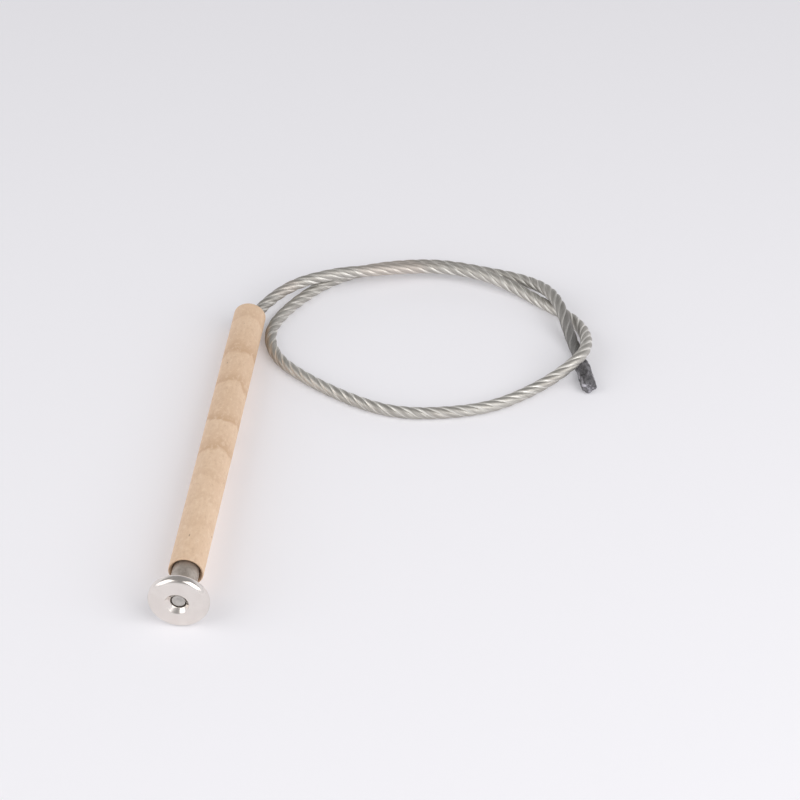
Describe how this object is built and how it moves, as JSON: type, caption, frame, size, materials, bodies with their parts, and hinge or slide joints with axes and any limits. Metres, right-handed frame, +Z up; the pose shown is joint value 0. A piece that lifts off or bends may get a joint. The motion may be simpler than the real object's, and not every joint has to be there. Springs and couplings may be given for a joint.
{
  "type": "flint spark lighter",
  "caption": "Hand lighter: a bored wooden grip on a steel sleeve, a plated round head with a flint rod, and a wire rope tether with a fused tip.",
  "frame": {"origin": "on the ground, under the middle of the box of the tool without its free rope", "axes": "+Z up, +Y from the head to the grip's far end"},
  "size_m": [0.1892, 0.2742, 0.0276],
  "materials": {
    "nickel": "satin nickel plate",
    "sleeve_steel": "plain drawn steel",
    "flint": "matt sawn face",
    "wood": "sanded, unvarnished",
    "wire": "bright drawn wire",
    "burnt": "heat-blackened, rough"
  },
  "bodies": {
    "spindle": {"plated_head": "nickel", "steel_sleeve": "sleeve_steel", "rope_core": "wire", "rope_strand_1": "wire", "rope_strand_2": "wire", "rope_strand_3": "wire", "rope_strand_4": "wire", "wire_rope": "wire", "fused_tip": "burnt"},
    "grip": {"wooden_grip": "wood"},
    "flint": {"flint_rod": "flint"}
  },
  "joints": [
    {"name": "grip_slide", "type": "slide", "parent": "spindle", "child": "grip", "axis": [0, -0.9996, 0.0275], "range_m": [0, 0.0148]},
    {"name": "flint_feed", "type": "slide", "parent": "spindle", "child": "flint", "axis": [0, -0.9996, 0.0275], "range_m": [-0.003, 0.002]}
  ]
}
